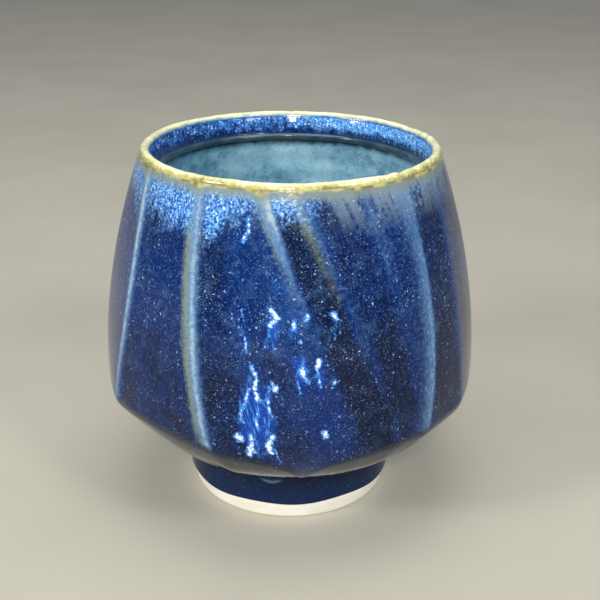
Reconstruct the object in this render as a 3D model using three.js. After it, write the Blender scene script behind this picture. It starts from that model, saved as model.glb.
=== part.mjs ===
// Shaving mug: a thrown, wire-faceted and glazed pot without a handle.
// Millimetres, +Z up. The origin is the middle of the circle that the foot stands on, and -Y is the front.
// The clay is six members and each glaze coat is a thin shell over the clay, so that every piece is a
// closed solid of its own. Neighbours keep a small gap.

import * as THREE from 'three';

// ---------- driving dimensions ----------

const HEIGHT = 106;
const LIP_RADIUS = 42.5;
const LIP_WIDTH = 3.0;
const LIP_BASE_HEIGHT = 104.2;
const KNEE_RADIUS = 55.4;
const KNEE_HEIGHT = 35.6;
const WALL_CURVE = 1.95;
const FOOT_TOP_RADIUS = 31.2;
const FOOT_TOP_HEIGHT = 16;
const UNDERSIDE_CURVE = 1.6;
const CONTACT_OUTER_RADIUS = 29;
const CONTACT_INNER_RADIUS = 25.4;
const BARE_BAND_HEIGHT = 5;
const BARE_BAND_RADIUS = 30.6;
const RECESS_RADIUS = 24;
const RECESS_DEPTH = 8.5;
const WALL_THICKNESS = 5.4;
const BOWL_TOP_HEIGHT = 44;
const BOWL_FLOOR_HEIGHT = 15;
const COLLAR_BASE_HEIGHT = 99.6;
const COLLAR_BASE_RADIUS = 38.5;
const RIDGE_RADIUS = 37.6;
const RIDGE_LOW = 96.9;
const RIDGE_HIGH = 99.3;
const RIDGE_BACK_RADIUS = 40.2;
const LINER_TOP_HEIGHT = 96.6;
const CORNER_ROUNDING = 0.6;
const CLAY_SPLIT_HEIGHT = 37.5;

// A coat of glaze, the gap behind it, and what is added to that gap where faces curve or bend.
const COAT = 0.7;
const GAP = 0.3;
const UNDER_COAT = COAT + GAP;
const CURVE_SLACK = 0.1;
const BEND_SLACK = 0.6;

// Where the sections have their points: heights on the wall, and parts of the way along a curve.
const WALL_LEVELS = [46, 56, 65, 74, 83, 93];
const BEND_PARTS = [0, 0.35, 0.7];
const UNDERSIDE_PARTS = [0, 0.25, 0.5, 0.75, 0.95];
const CLAY_LEVELS_INSIDE = [92, 80, 68, 56, BOWL_TOP_HEIGHT];
const LINER_LEVELS = [LINER_TOP_HEIGHT, 88, 77, 66, 55];
const BOWL_PARTS = [1, 0.84, 0.68, 0.52, 0.36, 0.18, 0];
const BOWL_PARTS_OVER_FLOOR = [0.34, 0.24, 0.12, 0];
const BOWL_PARTS_OVER_FLARE = [0.4, 0.52, 0.66, 0.8];
const LIP_STEPS = 9;

const ROUND_STEPS = 40;
const FACET_STEPS = 3;

// The cut edges that run from the lip to the knee, in order round the pot. Each has its angle from the
// front in degrees at the lip, half way and at the knee, and how far it falls short of the full radius
// at those heights, in millimetres: an edge that dies out falls short by as much as its facet is hollow.
const EDGES = [
  { angles: [-61, -57, -65], falls: [0, 0, 0] },
  { angles: [-32, -30.5, -21], falls: [0, 0, 0] },
  { angles: [-19, -14.5, -7], falls: [0.8, 0.9, 1.2] },
  { angles: [-12, -3, 5], falls: [0.2, 0.3, 0] },
  { angles: [-9.5, 6.5, 20], falls: [0, 0, 0] },
  { angles: [2, 19.5, 32], falls: [0, 0, 0] },
  { angles: [22, 35, 38], falls: [0, 0.3, 0.6] },
  { angles: [42, 45.5, 43], falls: [0, 0, 0] },
  { angles: [61, 60, 62], falls: [0, 0, 0] },
  { angles: [83, 84, 86], falls: [0, 0, 0] },
  { angles: [104, 107, 108], falls: [0, 0, 0] },
  { angles: [119, 127, 133], falls: [0, 0, 0] },
  { angles: [134, 147, 159], falls: [0, 0, 0] },
  { angles: [157, 171, 184], falls: [0, 0, 0] },
  { angles: [182, 190, 203], falls: [0, 0, 0] },
  { angles: [205, 211, 222], falls: [0, 0, 0] },
  { angles: [229, 231, 236], falls: [0, 0, 0] },
  { angles: [252, 252, 255], falls: [0, 0, 0] },
  { angles: [275, 276, 272], falls: [0, 0, 0] },
];

// How strongly the facets are cut, by height: [height, strength], where 1 is a flat facet and 0 is round.
const FACET_STRENGTH = [[17, 0], [24, 0.5], [36, 0.6], [50, 0.65], [88, 0.65], [100, 0.3], [104, 0.08]];

// Where the knee dips in a tongue: its angle from the front, its depth, and how far it spreads to the
// left and to the right, in degrees. The wall starts to bend in towards a tongue at DIP_TOP.
const DIPS = [
  { angle: 4.5, depth: 12, left: 8.5, right: 7 },
  { angle: 146, depth: 5, left: 8, right: 7 },
  { angle: 246, depth: 4, left: 7, right: 9 },
];
const DIP_TOP = 46;
const DIP_ROUNDING = 1.5;

// ---------- small helpers ----------

function alongTable(table, at) {
  if (at <= table[0][0]) return table[0][1];
  for (let i = 1; i < table.length; i++) {
    const [low, lowValue] = table[i - 1];
    const [high, highValue] = table[i];
    if (at <= high) return lowValue + (highValue - lowValue) * (at - low) / (high - low);
  }
  return table[table.length - 1][1];
}

// The quadratic through a value at the lip, half way and at the knee.
function betweenLipAndKnee([atLip, halfWay, atKnee], height) {
  const clamped = Math.min(Math.max(height, KNEE_HEIGHT), LIP_BASE_HEIGHT);
  const t = (LIP_BASE_HEIGHT - clamped) / (LIP_BASE_HEIGHT - KNEE_HEIGHT);
  return atLip * (1 - t) * (1 - 2 * t) + halfWay * 4 * t * (1 - t) + atKnee * t * (2 * t - 1);
}

// ---------- profiles: radius and height of the surfaces, before the facets are cut ----------

function wallRadius(height) {
  const rise = Math.max(height - KNEE_HEIGHT, 0) / (LIP_BASE_HEIGHT - KNEE_HEIGHT);
  return KNEE_RADIUS - (KNEE_RADIUS - LIP_RADIUS) * rise ** WALL_CURVE;
}

// From the foot (0) to the knee (1).
function undersidePoint(part) {
  const radius = FOOT_TOP_RADIUS + (KNEE_RADIUS - FOOT_TOP_RADIUS) * part;
  return [radius, FOOT_TOP_HEIGHT + (KNEE_HEIGHT - FOOT_TOP_HEIGHT) * part ** UNDERSIDE_CURVE];
}

// The height of the knee under a point of the wall, by its angle from the front in degrees.
function kneeHeight(angle) {
  let height = KNEE_HEIGHT;
  for (const dip of DIPS) {
    const away = THREE.MathUtils.euclideanModulo(angle - dip.angle + 180, 360) - 180;
    const spread = away < 0 ? dip.left : dip.right;
    height -= dip.depth * Math.exp(-(Math.hypot(away, DIP_ROUNDING) - DIP_ROUNDING) / spread);
  }
  return height;
}

// How far along the underside, from 0 to 1, a height is reached.
const undersidePart = (height) => (
  (height - FOOT_TOP_HEIGHT) / (KNEE_HEIGHT - FOOT_TOP_HEIGHT)) ** (1 / UNDERSIDE_CURVE);

// The wall above a knee that may dip: it bends in to meet the underside there.
function wallPoint(height, knee) {
  const reach = Math.max(DIP_TOP - height, 0) / (DIP_TOP - knee);
  const bend = KNEE_RADIUS - undersidePoint(undersidePart(knee))[0];
  return [wallRadius(height) - bend * reach * reach, height];
}

// From the middle of the floor (0) to the side of the bowl (1), a quarter of an ellipse.
function bowlPoint(part) {
  const turn = part * Math.PI / 2;
  const sideRadius = wallRadius(BOWL_TOP_HEIGHT) - WALL_THICKNESS;
  const depth = BOWL_TOP_HEIGHT - BOWL_FLOOR_HEIGHT;
  return [sideRadius * Math.sin(turn), BOWL_TOP_HEIGHT - depth * Math.cos(turn)];
}

const collarRadius = (height) => THREE.MathUtils.mapLinear(
  height, COLLAR_BASE_HEIGHT, LIP_BASE_HEIGHT, COLLAR_BASE_RADIUS, LIP_RADIUS - LIP_WIDTH);

// A path moved sideways, to its left as it is walked.
function offsetPath(path, distance) {
  return path.map(([radius, height], i) => {
    const [r0, z0] = path[Math.max(i - 1, 0)];
    const [r1, z1] = path[Math.min(i + 1, path.length - 1)];
    const length = Math.hypot(r1 - r0, z1 - z0);
    return [radius - (z1 - z0) / length * distance, height + (r1 - r0) / length * distance];
  });
}

// ---------- facets ----------

function edgesAt(height) {
  return EDGES.map(({ angles, falls }) => ({
    angle: THREE.MathUtils.degToRad(betweenLipAndKnee(angles, height)),
    radius: 1 - betweenLipAndKnee(falls, height) / KNEE_RADIUS,
  }));
}

// Where column number `column` stands at a height, and how far the cut brings the radius in there.
function columnAt(column, height) {
  const edges = edgesAt(height);
  const index = Math.floor(column / FACET_STEPS);
  const from = edges[index];
  const next = edges[(index + 1) % edges.length];
  const to = { angle: next.angle + (index + 1 === edges.length ? 2 * Math.PI : 0), radius: next.radius };
  const angle = from.angle + (to.angle - from.angle) * (column % FACET_STEPS) / FACET_STEPS;
  const span = to.angle - from.angle;
  const chord = from.radius * to.radius * Math.sin(span)
    / (from.radius * Math.sin(angle - from.angle) + to.radius * Math.sin(to.angle - angle));
  return { angle, scale: 1 - (1 - chord) * alongTable(FACET_STRENGTH, height) };
}

const kneeUnder = (column) => kneeHeight(THREE.MathUtils.radToDeg(columnAt(column, KNEE_HEIGHT).angle));

// The wall's heights over one column: close together where the wall bends in, then the common levels.
function wallLevels(low, top) {
  const bends = BEND_PARTS.map((part) => low + (DIP_TOP - low) * part);
  return [...bends, ...WALL_LEVELS, top];
}

// ---------- solids ----------

function solidFromRings(rings, loops) {
  const positions = rings.flat(2);
  const count = rings.length;
  const indices = [];
  for (let i = 0; i < count; i++) {
    const next = (i + 1) % count;
    for (let k = 0; k < loops; k++) {
      const after = (k + 1) % loops;
      const corners = [i * loops + k, next * loops + k, next * loops + after, i * loops + after];
      // Both faces of a wall are split along the same diagonal, so that they stay parallel.
      const isFalling = rings[0][after][2] < rings[0][k][2];
      if (isFalling) corners.push(corners.shift());
      indices.push(corners[0], corners[1], corners[2], corners[0], corners[2], corners[3]);
    }
  }
  const geometry = new THREE.BufferGeometry();
  geometry.setAttribute('position', new THREE.Float32BufferAttribute(positions, 3));
  geometry.setIndex(indices);
  geometry.computeVertexNormals();
  return geometry;
}

// A ring that follows the facets. For each column, `sectionAt` gives the part of the closed section that
// the facets shape and the rest of it, both walked so that the solid lies on their left.
function facetedRing(sectionAt) {
  const rings = [];
  let loops = 0;
  for (let column = 0; column < EDGES.length * FACET_STEPS; column++) {
    const { cut, round } = sectionAt(column);
    loops = cut.length + round.length;
    const place = ([radius, height], isCut) => {
      const { angle, scale } = columnAt(column, height);
      const r = isCut ? radius * scale : radius;
      return [r * Math.sin(angle), -r * Math.cos(angle), height];
    };
    rings.push([...cut.map((point) => place(point, true)), ...round.map((point) => place(point, false))]);
  }
  return solidFromRings(rings, loops);
}

// A turned solid. A section that starts on the axis ends on it, and any other one is closed.
function turned(section) {
  const path = section[0][0] === 0 ? section : [...section, section[0]];
  return new THREE.LatheGeometry(path.map(([r, z]) => new THREE.Vector2(r, z)), ROUND_STEPS)
    .rotateX(Math.PI / 2);
}

// ---------- clay ----------

function footRing() {
  const top = RECESS_DEPTH - GAP;
  return turned([
    [CONTACT_INNER_RADIUS, 0],
    [CONTACT_OUTER_RADIUS, 0],
    [CONTACT_OUTER_RADIUS + CORNER_ROUNDING, CORNER_ROUNDING],
    [BARE_BAND_RADIUS, BARE_BAND_HEIGHT - GAP],
    [FOOT_TOP_RADIUS - UNDER_COAT, BARE_BAND_HEIGHT],
    [FOOT_TOP_RADIUS - UNDER_COAT, top],
    [RECESS_RADIUS, top],
    [CONTACT_INNER_RADIUS - CORNER_ROUNDING, CORNER_ROUNDING],
  ]);
}

function floorDisc() {
  const rimRadius = FOOT_TOP_RADIUS - UNDER_COAT;
  const under = UNDER_COAT + CURVE_SLACK;
  return turned([
    [0, RECESS_DEPTH],
    [rimRadius, RECESS_DEPTH],
    [rimRadius, FOOT_TOP_HEIGHT],
    ...BOWL_PARTS_OVER_FLOOR.map(bowlPoint).map(([r, z]) => [r, z - under]),
  ]);
}

// The clay behind a coat on the wall: the wall's points, moved in.
const behindWall = (levels, knee, distance) => levels
  .map((z) => wallPoint(z, knee))
  .map(([r, z]) => [r - distance, z]);

function lowerWall() {
  const top = CLAY_SPLIT_HEIGHT - GAP / 2;
  const bowl = BOWL_PARTS_OVER_FLARE.map(bowlPoint);
  const inside = offsetPath(bowl, -UNDER_COAT - CURVE_SLACK).reverse();
  const insideTop = [wallRadius(BOWL_TOP_HEIGHT) - WALL_THICKNESS - CURVE_SLACK, top];
  return facetedRing((column) => {
    const knee = kneeUnder(column);
    const end = undersidePart(knee);
    const underside = UNDERSIDE_PARTS.map((part) => undersidePoint(part * end));
    const middle = THREE.MathUtils.lerp(knee, top, BEND_PARTS[1]);
    const side = behindWall([middle, top], knee, UNDER_COAT + BEND_SLACK);
    return { cut: [...offsetPath(underside, UNDER_COAT), ...side], round: [insideTop, ...inside] };
  });
}

function facetedWall() {
  const low = CLAY_SPLIT_HEIGHT + GAP / 2;
  const top = LIP_BASE_HEIGHT - GAP;
  const inside = WALL_THICKNESS - UNDER_COAT - CURVE_SLACK;
  const round = [
    [collarRadius(top) + UNDER_COAT, top],
    [RIDGE_BACK_RADIUS + GAP + CURVE_SLACK, RIDGE_HIGH],
    [RIDGE_BACK_RADIUS + GAP + CURVE_SLACK, RIDGE_LOW],
    ...CLAY_LEVELS_INSIDE.map((z) => [wallRadius(z) - inside, z]),
    [wallRadius(BOWL_TOP_HEIGHT) - inside - BEND_SLACK, low],
  ];
  return facetedRing((column) => {
    const knee = kneeUnder(column);
    const foot = behindWall([low], knee, UNDER_COAT + BEND_SLACK);
    const wall = behindWall([...WALL_LEVELS, top], knee, UNDER_COAT);
    return { cut: [...foot, ...wall], round };
  });
}

function lipRing() {
  const middle = LIP_RADIUS - LIP_WIDTH / 2;
  const rise = HEIGHT - LIP_BASE_HEIGHT;
  return turned(Array.from({ length: LIP_STEPS }, (_, i) => {
    const turn = Math.PI * i / (LIP_STEPS - 1);
    return [middle + LIP_WIDTH / 2 * Math.cos(turn), LIP_BASE_HEIGHT + rise * Math.sin(turn)];
  }));
}

function collarRidge() {
  return turned([
    [RIDGE_BACK_RADIUS, RIDGE_LOW],
    [RIDGE_BACK_RADIUS, RIDGE_HIGH],
    [COLLAR_BASE_RADIUS, RIDGE_HIGH],
    [RIDGE_RADIUS, RIDGE_HIGH - CORNER_ROUNDING],
    [RIDGE_RADIUS, RIDGE_LOW + CORNER_ROUNDING],
    [RIDGE_RADIUS + CORNER_ROUNDING, RIDGE_LOW],
  ]);
}

// ---------- glaze coats ----------

// A coat runs over a path on the visible surface, walked with the clay on its left.
const coatSection = (path) => [...path, ...offsetPath(path, COAT).reverse()];

function wallGlaze() {
  return facetedRing((column) => {
    const knee = kneeUnder(column);
    const path = wallLevels(knee + GAP, LIP_BASE_HEIGHT - GAP).map((z) => wallPoint(z, knee));
    const back = path.map(([r, z]) => [r - COAT, z]).reverse();
    return { cut: [...path, ...back], round: [] };
  });
}

function undersideGlaze() {
  return facetedRing((column) => {
    const end = undersidePart(kneeUnder(column));
    const path = UNDERSIDE_PARTS.map((part) => undersidePoint(part * end));
    return { cut: coatSection(path), round: [] };
  });
}

function footGlaze() {
  const top = FOOT_TOP_HEIGHT - GAP - COAT / 2;
  return turned([
    [FOOT_TOP_RADIUS - COAT, BARE_BAND_HEIGHT + GAP],
    [FOOT_TOP_RADIUS - COAT / 3, BARE_BAND_HEIGHT + GAP],
    [FOOT_TOP_RADIUS, BARE_BAND_HEIGHT + GAP + CORNER_ROUNDING],
    [FOOT_TOP_RADIUS, top],
    [FOOT_TOP_RADIUS - COAT, top],
  ]);
}

function collarGlaze() {
  const path = [LIP_BASE_HEIGHT - GAP, COLLAR_BASE_HEIGHT].map((z) => [collarRadius(z), z]);
  return turned(coatSection(path));
}

function linerGlaze() {
  const wall = LINER_LEVELS.map((z) => [wallRadius(z) - WALL_THICKNESS, z]);
  const visible = [...wall, ...BOWL_PARTS.map(bowlPoint)];
  const hidden = offsetPath(visible, COAT);
  hidden[hidden.length - 1] = [0, BOWL_FLOOR_HEIGHT - COAT];
  return turned([...hidden.reverse(), ...visible]);
}

// ---------- assembly ----------

const COBALT = { color: 0x0f1f4a, roughness: 0.12, metalness: 0 };
const HONEY = { color: 0x9a8560, roughness: 0.25, metalness: 0 };
const CLAY = { color: 0xd9d2c0, roughness: 0.85, metalness: 0 };
const PALE_LINER = { color: 0x8fb3bd, roughness: 0.45, metalness: 0 };

const PIECES = [
  ['foot_ring', footRing, CLAY],
  ['floor_disc', floorDisc, CLAY],
  ['lower_wall', lowerWall, CLAY],
  ['faceted_wall', facetedWall, CLAY],
  ['lip_ring', lipRing, HONEY],
  ['collar_ridge', collarRidge, HONEY],
  ['wall_glaze', wallGlaze, COBALT],
  ['underside_glaze', undersideGlaze, COBALT],
  ['foot_glaze', footGlaze, COBALT],
  ['collar_glaze', collarGlaze, COBALT],
  ['liner_glaze', linerGlaze, PALE_LINER],
];

const mug = new THREE.Group();
for (const [name, build, finish] of PIECES) {
  const mesh = new THREE.Mesh(build(), new THREE.MeshStandardMaterial(finish));
  mesh.name = name;
  mug.add(mesh);
}

export default mug;
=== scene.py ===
# The looks of a faceted, cobalt glazed shaving mug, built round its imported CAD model.
# Lengths are in millimetres until a mesh is made, and in metres for the floor, the lights and the camera.
# Angles go round the pot from the front, -Y, towards +X.

import math
from collections import namedtuple

import bmesh
import bpy
import numpy as np
from mathutils import Matrix, Vector


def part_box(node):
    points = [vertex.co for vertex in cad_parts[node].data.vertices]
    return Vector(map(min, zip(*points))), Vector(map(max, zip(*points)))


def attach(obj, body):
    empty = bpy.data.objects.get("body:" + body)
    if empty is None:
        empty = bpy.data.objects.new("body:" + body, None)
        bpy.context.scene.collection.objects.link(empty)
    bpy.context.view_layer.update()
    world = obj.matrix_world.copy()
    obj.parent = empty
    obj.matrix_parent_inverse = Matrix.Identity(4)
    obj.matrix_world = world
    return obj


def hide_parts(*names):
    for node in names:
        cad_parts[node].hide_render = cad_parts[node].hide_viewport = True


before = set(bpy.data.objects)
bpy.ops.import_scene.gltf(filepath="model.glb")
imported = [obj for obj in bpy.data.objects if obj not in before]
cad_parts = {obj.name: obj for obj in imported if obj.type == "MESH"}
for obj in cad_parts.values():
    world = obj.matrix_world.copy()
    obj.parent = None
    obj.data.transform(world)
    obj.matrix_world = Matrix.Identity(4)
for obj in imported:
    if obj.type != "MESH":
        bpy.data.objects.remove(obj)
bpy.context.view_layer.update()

MM = 0.001


# ---------- sizes from the frame ----------

def turned_size(node):
    """The outer radius, the bottom and the top of a CAD node, in millimetres."""
    low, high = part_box(node)
    return (high.x - low.x) / 2 / MM, low.z / MM, high.z / MM


LIP_RADIUS, LIP_BASE, HEIGHT = turned_size("lip_ring")
FOOT_RADIUS, GLAZE_LINE = turned_size("foot_glaze")[:2]
BARE_RADIUS = turned_size("foot_ring")[0]
RECESS_TOP = turned_size("floor_disc")[1]
RIDGE_BACK_RADIUS, RIDGE_LOW, RIDGE_HIGH = turned_size("collar_ridge")
LINER_TOP = turned_size("liner_glaze")[2]

# Sizes that no node's box gives: they repeat the driving dimensions of the CAD model.
LIP_WIDTH = 3.0
KNEE_RADIUS = 55.4
KNEE_HEIGHT = 35.6
WALL_CURVE = 1.95
FOOT_TOP_HEIGHT = 16.0
UNDERSIDE_CURVE = 1.6
CONTACT_OUTER_RADIUS = 29.0
CONTACT_INNER_RADIUS = 25.4
RECESS_RADIUS = 24.0
WALL_THICKNESS = 5.4
BOWL_TOP = 44.0
BOWL_FLOOR = 15.0
COLLAR_BASE = 99.6
COLLAR_BASE_RADIUS = 38.5
RIDGE_RADIUS = 37.6
COAT = 0.7

# The cut edges in order round the pot. `angles` in degrees at the lip, half way and at the knee; `falls`
# how far the edge falls short of the full radius there; `pale` how pale blue the edge is, where the glaze
# breaks thin and partly as a painted sheen of reflected light on the crest, and `warm` how much the glaze
# breaks to straw on its left; `spread` how far the paleness reaches to the left and to the right; and
# `aside` how far both lie to the right of the edge, in millimetres.
Edge = namedtuple("Edge", "angles falls pale warm spread aside", defaults=[(0, 0, 0)])
EDGES = [
    Edge((-61, -57, -65), (0, 0, 0), (1.0, 0.9, 0.7), (0.7, 0.1, 0), (1.5, 1.8)),
    Edge((-32, -30.5, -21), (0, 0, 0), (0.8, 0.88, 0.88), (0.8, 0.9, 0.7), (1.4, 1.7), (0.5, 1.5, -2.2)),
    Edge((-19, -14.5, -7), (0.8, 0.9, 1.2), (0.15, 0.04, 0), (0.1, 0, 0), (1.6, 1.6)),
    Edge((-12, -3, 5), (0.2, 0.3, 0), (0.1, 0.1, 0), (0, 0, 0), (2.5, 2.5)),
    Edge((-9.5, 6.5, 20), (0, 0, 0), (1.15, 0.15, 0), (1.0, 0.05, 0), (2.1, 1.0), (0.6, 0, 0)),
    Edge((2, 19.5, 32), (0, 0, 0), (0.5, 0.1, 0.12), (0.9, 0.15, 0.1), (1.0, 1.8)),
    Edge((22, 35, 38), (0, 0.3, 0.6), (0.45, 0.1, 0), (0.2, 0, 0), (1.6, 2.2), (1.2, 0, 0)),
    Edge((42, 45.5, 43), (0, 0, 0), (0.5, 0.7, 0.65), (0.2, 0, 0), (3.8, 0.9)),
    Edge((61, 60, 62), (0, 0, 0), (0.35, 0.15, 0.05), (0.3, 0, 0), (1.2, 1.2)),
    Edge((83, 84, 86), (0, 0, 0), (0.6, 0.6, 0.55), (0.5, 0.1, 0.1), (1.2, 1.4)),
    Edge((104, 107, 108), (0, 0, 0), (0.75, 0.7, 0.8), (0.6, 0.3, 0.3), (1.1, 1.5)),
    Edge((119, 127, 133), (0, 0, 0), (0.4, 0.2, 0.15), (0.4, 0, 0), (1.6, 1.2)),
    Edge((134, 147, 159), (0, 0, 0), (0.9, 0.55, 0.3), (0.7, 0.3, 0), (1.8, 1.0)),
    Edge((157, 171, 184), (0, 0, 0), (0.6, 0.75, 0.85), (0.4, 0.1, 0.2), (1.3, 1.4)),
    Edge((182, 190, 203), (0, 0, 0), (0.5, 0.3, 0.2), (0.5, 0.2, 0), (1.4, 1.8)),
    Edge((205, 211, 222), (0, 0, 0), (0.85, 0.7, 0.6), (0.6, 0.2, 0.2), (1.2, 1.3)),
    Edge((229, 231, 236), (0, 0, 0), (0.45, 0.35, 0.3), (0.3, 0, 0), (1.8, 1.4)),
    Edge((252, 252, 255), (0, 0, 0), (0.7, 0.8, 0.9), (0.5, 0.4, 0.4), (1.1, 1.4)),
    Edge((275, 276, 272), (0, 0, 0), (0.5, 0.45, 0.5), (0.4, 0.1, 0), (1.3, 1.3)),
]

# How light the glaze is on the facet after each edge, from -1, nearly black, to 1, bright blue.
FACET_TONES = [-0.25, -0.55, -0.2, 0.3, -1.0, -0.6, -0.15, -0.7, -0.4, 0.1,
               -0.4, 0.25, -0.7, 0.1, 0.35, -0.3, 0.15, -0.5, 0.0]

# How strongly the facets are cut, by height.
FACET_STRENGTH = [(17, 0), (24, 0.5), (36, 0.6), (50, 0.65), (88, 0.65), (100, 0.3), (104, 0.08)]

# Where the knee dips in a tongue: `angle`, `left` and `right` in degrees, `depth` in millimetres.
Dip = namedtuple("Dip", "angle depth left right")
DIPS = [Dip(4.5, 12, 8.5, 7), Dip(146, 5, 8, 7), Dip(246, 4, 7, 9)]
DIP_TOP = 46.0
DIP_ROUNDING = 1.5

# The band of azure crystals under the lip: angle, the height it reaches down to, and its strength.
AZURE_REACH = [(-180, 95, 0.8), (-150, 98, 0.7), (-120, 93, 0.9), (-95, 97, 0.7), (-75, 95, 0.7),
               (-61, 92, 0.8), (-50, 92, 0.85), (-39, 93, 1.0), (-30, 91, 1.0), (-26, 89.5, 1.0),
               (-20, 96, 0.9), (-13, 97, 0.9), (-6, 94.5, 1.0), (0, 97, 1.0), (8, 98.5, 0.9),
               (14, 100.5, 0.5), (22, 101, 0.4), (35, 98.5, 0.5), (48, 97, 0.6), (58, 99, 0.3),
               (75, 98, 0.3), (100, 93, 0.9), (125, 96, 0.8), (150, 92, 1.0), (180, 95, 0.8)]

# How milky the glaze is in the last centimetre under the lip: angle and amount.
HAZE = [(-180, 0.5), (-120, 0.3), (-60, 0.6), (-30, 0.25), (8, 0.25), (18, 0.9), (40, 1.0), (60, 0.8),
        (100, 0.4), (150, 0.6), (180, 0.5)]

# Runs of white crystals in the glaze, and one painted highlight: the half width of each, and the points that
# it follows (angle, height). A run of one point is a spot.
RUNS = [
    (0.55, [(-5.5, 76), (-3.5, 74), (-5.5, 72)]),
    (0.3, [(-5.5, 72), (-6, 69), (-7, 66)]),
    (0.3, [(-12.5, 68.5), (-12, 64.5)]),
    (0.25, [(-14, 75.5), (-13, 72.5)]),
    # Not crystals: a painted highlight, the warm glint of a lamp on the glaze, drawn as a white squiggle.
    (0.45, [(-13.5, 97), (-13, 94.5), (-14.5, 92)]),
    (0.5, [(-10.5, 61), (-9, 58), (-9.5, 55), (-8.5, 52)]),
    (0.4, [(-11, 55), (-12, 51.5), (-13.5, 48), (-12.5, 45.5)]),
    (0.7, [(-4.5, 56.5), (-4, 55.5)]),
    (0.4, [(-4.5, 56.5), (-6, 54), (-5.5, 49.5), (-4.5, 47.5)]),
    (0.35, [(-8.5, 50), (-9, 46.5), (-8.5, 43.5)]),
    (0.8, [(-14, 41.5), (-13.5, 40.5)]),
    (0.3, [(-14, 40), (-14, 36)]),
    (0.55, [(-10.5, 42), (-10.5, 37.5), (-11, 35.5)]),
    (0.5, [(-11, 38.5), (-11.5, 36.5)]),
    (0.5, [(-10.5, 38), (-9.5, 36.5)]),
    (0.65, [(-4.5, 42), (-6, 39), (-5, 36.5)]),
    (0.3, [(-4.5, 39.5), (-2.5, 32.5)]),
    (0.5, [(1, 73), (1, 71.5)]),
    (0.5, [(5, 74.5), (4.5, 73.5)]),
    (0.65, [(12, 74.5), (13, 73.5)]),
    (0.3, [(13, 73.5), (12.5, 68.5)]),
    (0.5, [(3, 68)]),
    (0.6, [(8, 63), (7.5, 61.5)]),
    (0.35, [(7.5, 61), (8, 57.5), (8.5, 56)]),
    (0.8, [(3.5, 60.5), (3.5, 59.5)]),
    (0.45, [(3.5, 59.5), (5, 57.5)]),
    (0.3, [(2, 58), (3, 54.5)]),
    (0.55, [(12, 57)]),
    (0.7, [(9.5, 43), (10, 42)]),
    (0.6, [(112, 66), (114, 62), (113, 58)]),
    (0.4, [(115, 60), (117, 55)]),
    (0.6, [(166, 58), (167, 52), (169, 47), (171, 43)]),
    (0.45, [(163, 55), (164, 50), (166, 46)]),
    (0.7, [(171, 42), (173, 40.5)]),
    (0.5, [(240, 62), (239, 57), (241, 52)]),
    (0.7, [(241, 50), (242, 48.5)]),
]

# Pools of bright blue round the runs: angle, height, half width in degrees, half height and strength.
POOLS = [(-9, 46, 6.5, 14, 1.0), (-5, 71, 3.0, 7, 0.7), (3, 60, 3.5, 7, 0.75), (8, 59, 2.5, 6, 0.6),
         (1, 72, 2.0, 5, 0.6), (-13, 68, 3, 5, 0.35), (114, 61, 4, 8, 0.7), (167, 50, 6, 12, 0.9),
         (240, 56, 4, 9, 0.7)]


# ---------- curves and surfaces ----------

def between_lip_and_knee(values, height):
    """The quadratic through values at the lip, half way and at the knee."""
    at_lip, half_way, at_knee = values
    t = (LIP_BASE - np.clip(height, KNEE_HEIGHT, LIP_BASE)) / (LIP_BASE - KNEE_HEIGHT)
    return at_lip * (1 - t) * (1 - 2 * t) + half_way * 4 * t * (1 - t) + at_knee * t * (2 * t - 1)


def wall_radius(height):
    rise = np.clip((height - KNEE_HEIGHT) / (LIP_BASE - KNEE_HEIGHT), 0, None)
    return KNEE_RADIUS - (KNEE_RADIUS - LIP_RADIUS) * rise ** WALL_CURVE


def underside_point(part):
    """Radius and height under the belly, from the foot (0) to the knee (1)."""
    return (FOOT_RADIUS + (KNEE_RADIUS - FOOT_RADIUS) * part,
            FOOT_TOP_HEIGHT + (KNEE_HEIGHT - FOOT_TOP_HEIGHT) * part ** UNDERSIDE_CURVE)


def underside_part(height):
    return ((height - FOOT_TOP_HEIGHT) / (KNEE_HEIGHT - FOOT_TOP_HEIGHT)) ** (1 / UNDERSIDE_CURVE)


def turn_between(angle, other):
    """The smallest turn from one angle to another, in degrees."""
    return (angle - other + 180) % 360 - 180


def knee_height(angle):
    height = np.full_like(angle, KNEE_HEIGHT)
    for dip in DIPS:
        away = turn_between(angle, dip.angle)
        spread = np.where(away < 0, dip.left, dip.right)
        height -= dip.depth * np.exp(-(np.hypot(away, DIP_ROUNDING) - DIP_ROUNDING) / spread)
    return height


def wall_point(height, knee):
    """Radius of the wall above a knee that may dip: it bends in to meet the underside there."""
    reach = np.clip(DIP_TOP - height, 0, None) / (DIP_TOP - knee)
    bend = KNEE_RADIUS - underside_point(underside_part(knee))[0]
    return wall_radius(height) - bend * reach ** 2


def bowl_point(part):
    """Radius and height inside, from the middle of the floor (0) to the side of the bowl (1)."""
    turn = part * math.pi / 2
    return ((wall_radius(BOWL_TOP) - WALL_THICKNESS) * np.sin(turn),
            BOWL_TOP - (BOWL_TOP - BOWL_FLOOR) * np.cos(turn))


def cut_scale(angle, height):
    """How far the facets bring the radius in, at angles in degrees."""
    at = [between_lip_and_knee(edge.angles, height) for edge in EDGES]
    radii = [1 - between_lip_and_knee(edge.falls, height) / KNEE_RADIUS for edge in EDGES]
    at.append(at[0] + 360)
    radii.append(radii[0])
    turned = (angle - at[0]) % 360 + at[0]
    chord = np.ones_like(turned)
    for i in range(len(EDGES)):
        after = np.radians(turned - at[i])
        before = np.radians(at[i + 1] - turned)
        inside = (after >= 0) & (before >= 0)
        flat = radii[i] * radii[i + 1] * np.sin(after + before) / (
            radii[i] * np.sin(after) + radii[i + 1] * np.sin(before) + 1e-12)
        chord = np.where(inside, flat, chord)
    heights, strengths = zip(*FACET_STRENGTH)
    return 1 - (1 - chord) * np.interp(height, heights, strengths)


CREST_ROUNDING = 1.0


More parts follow.
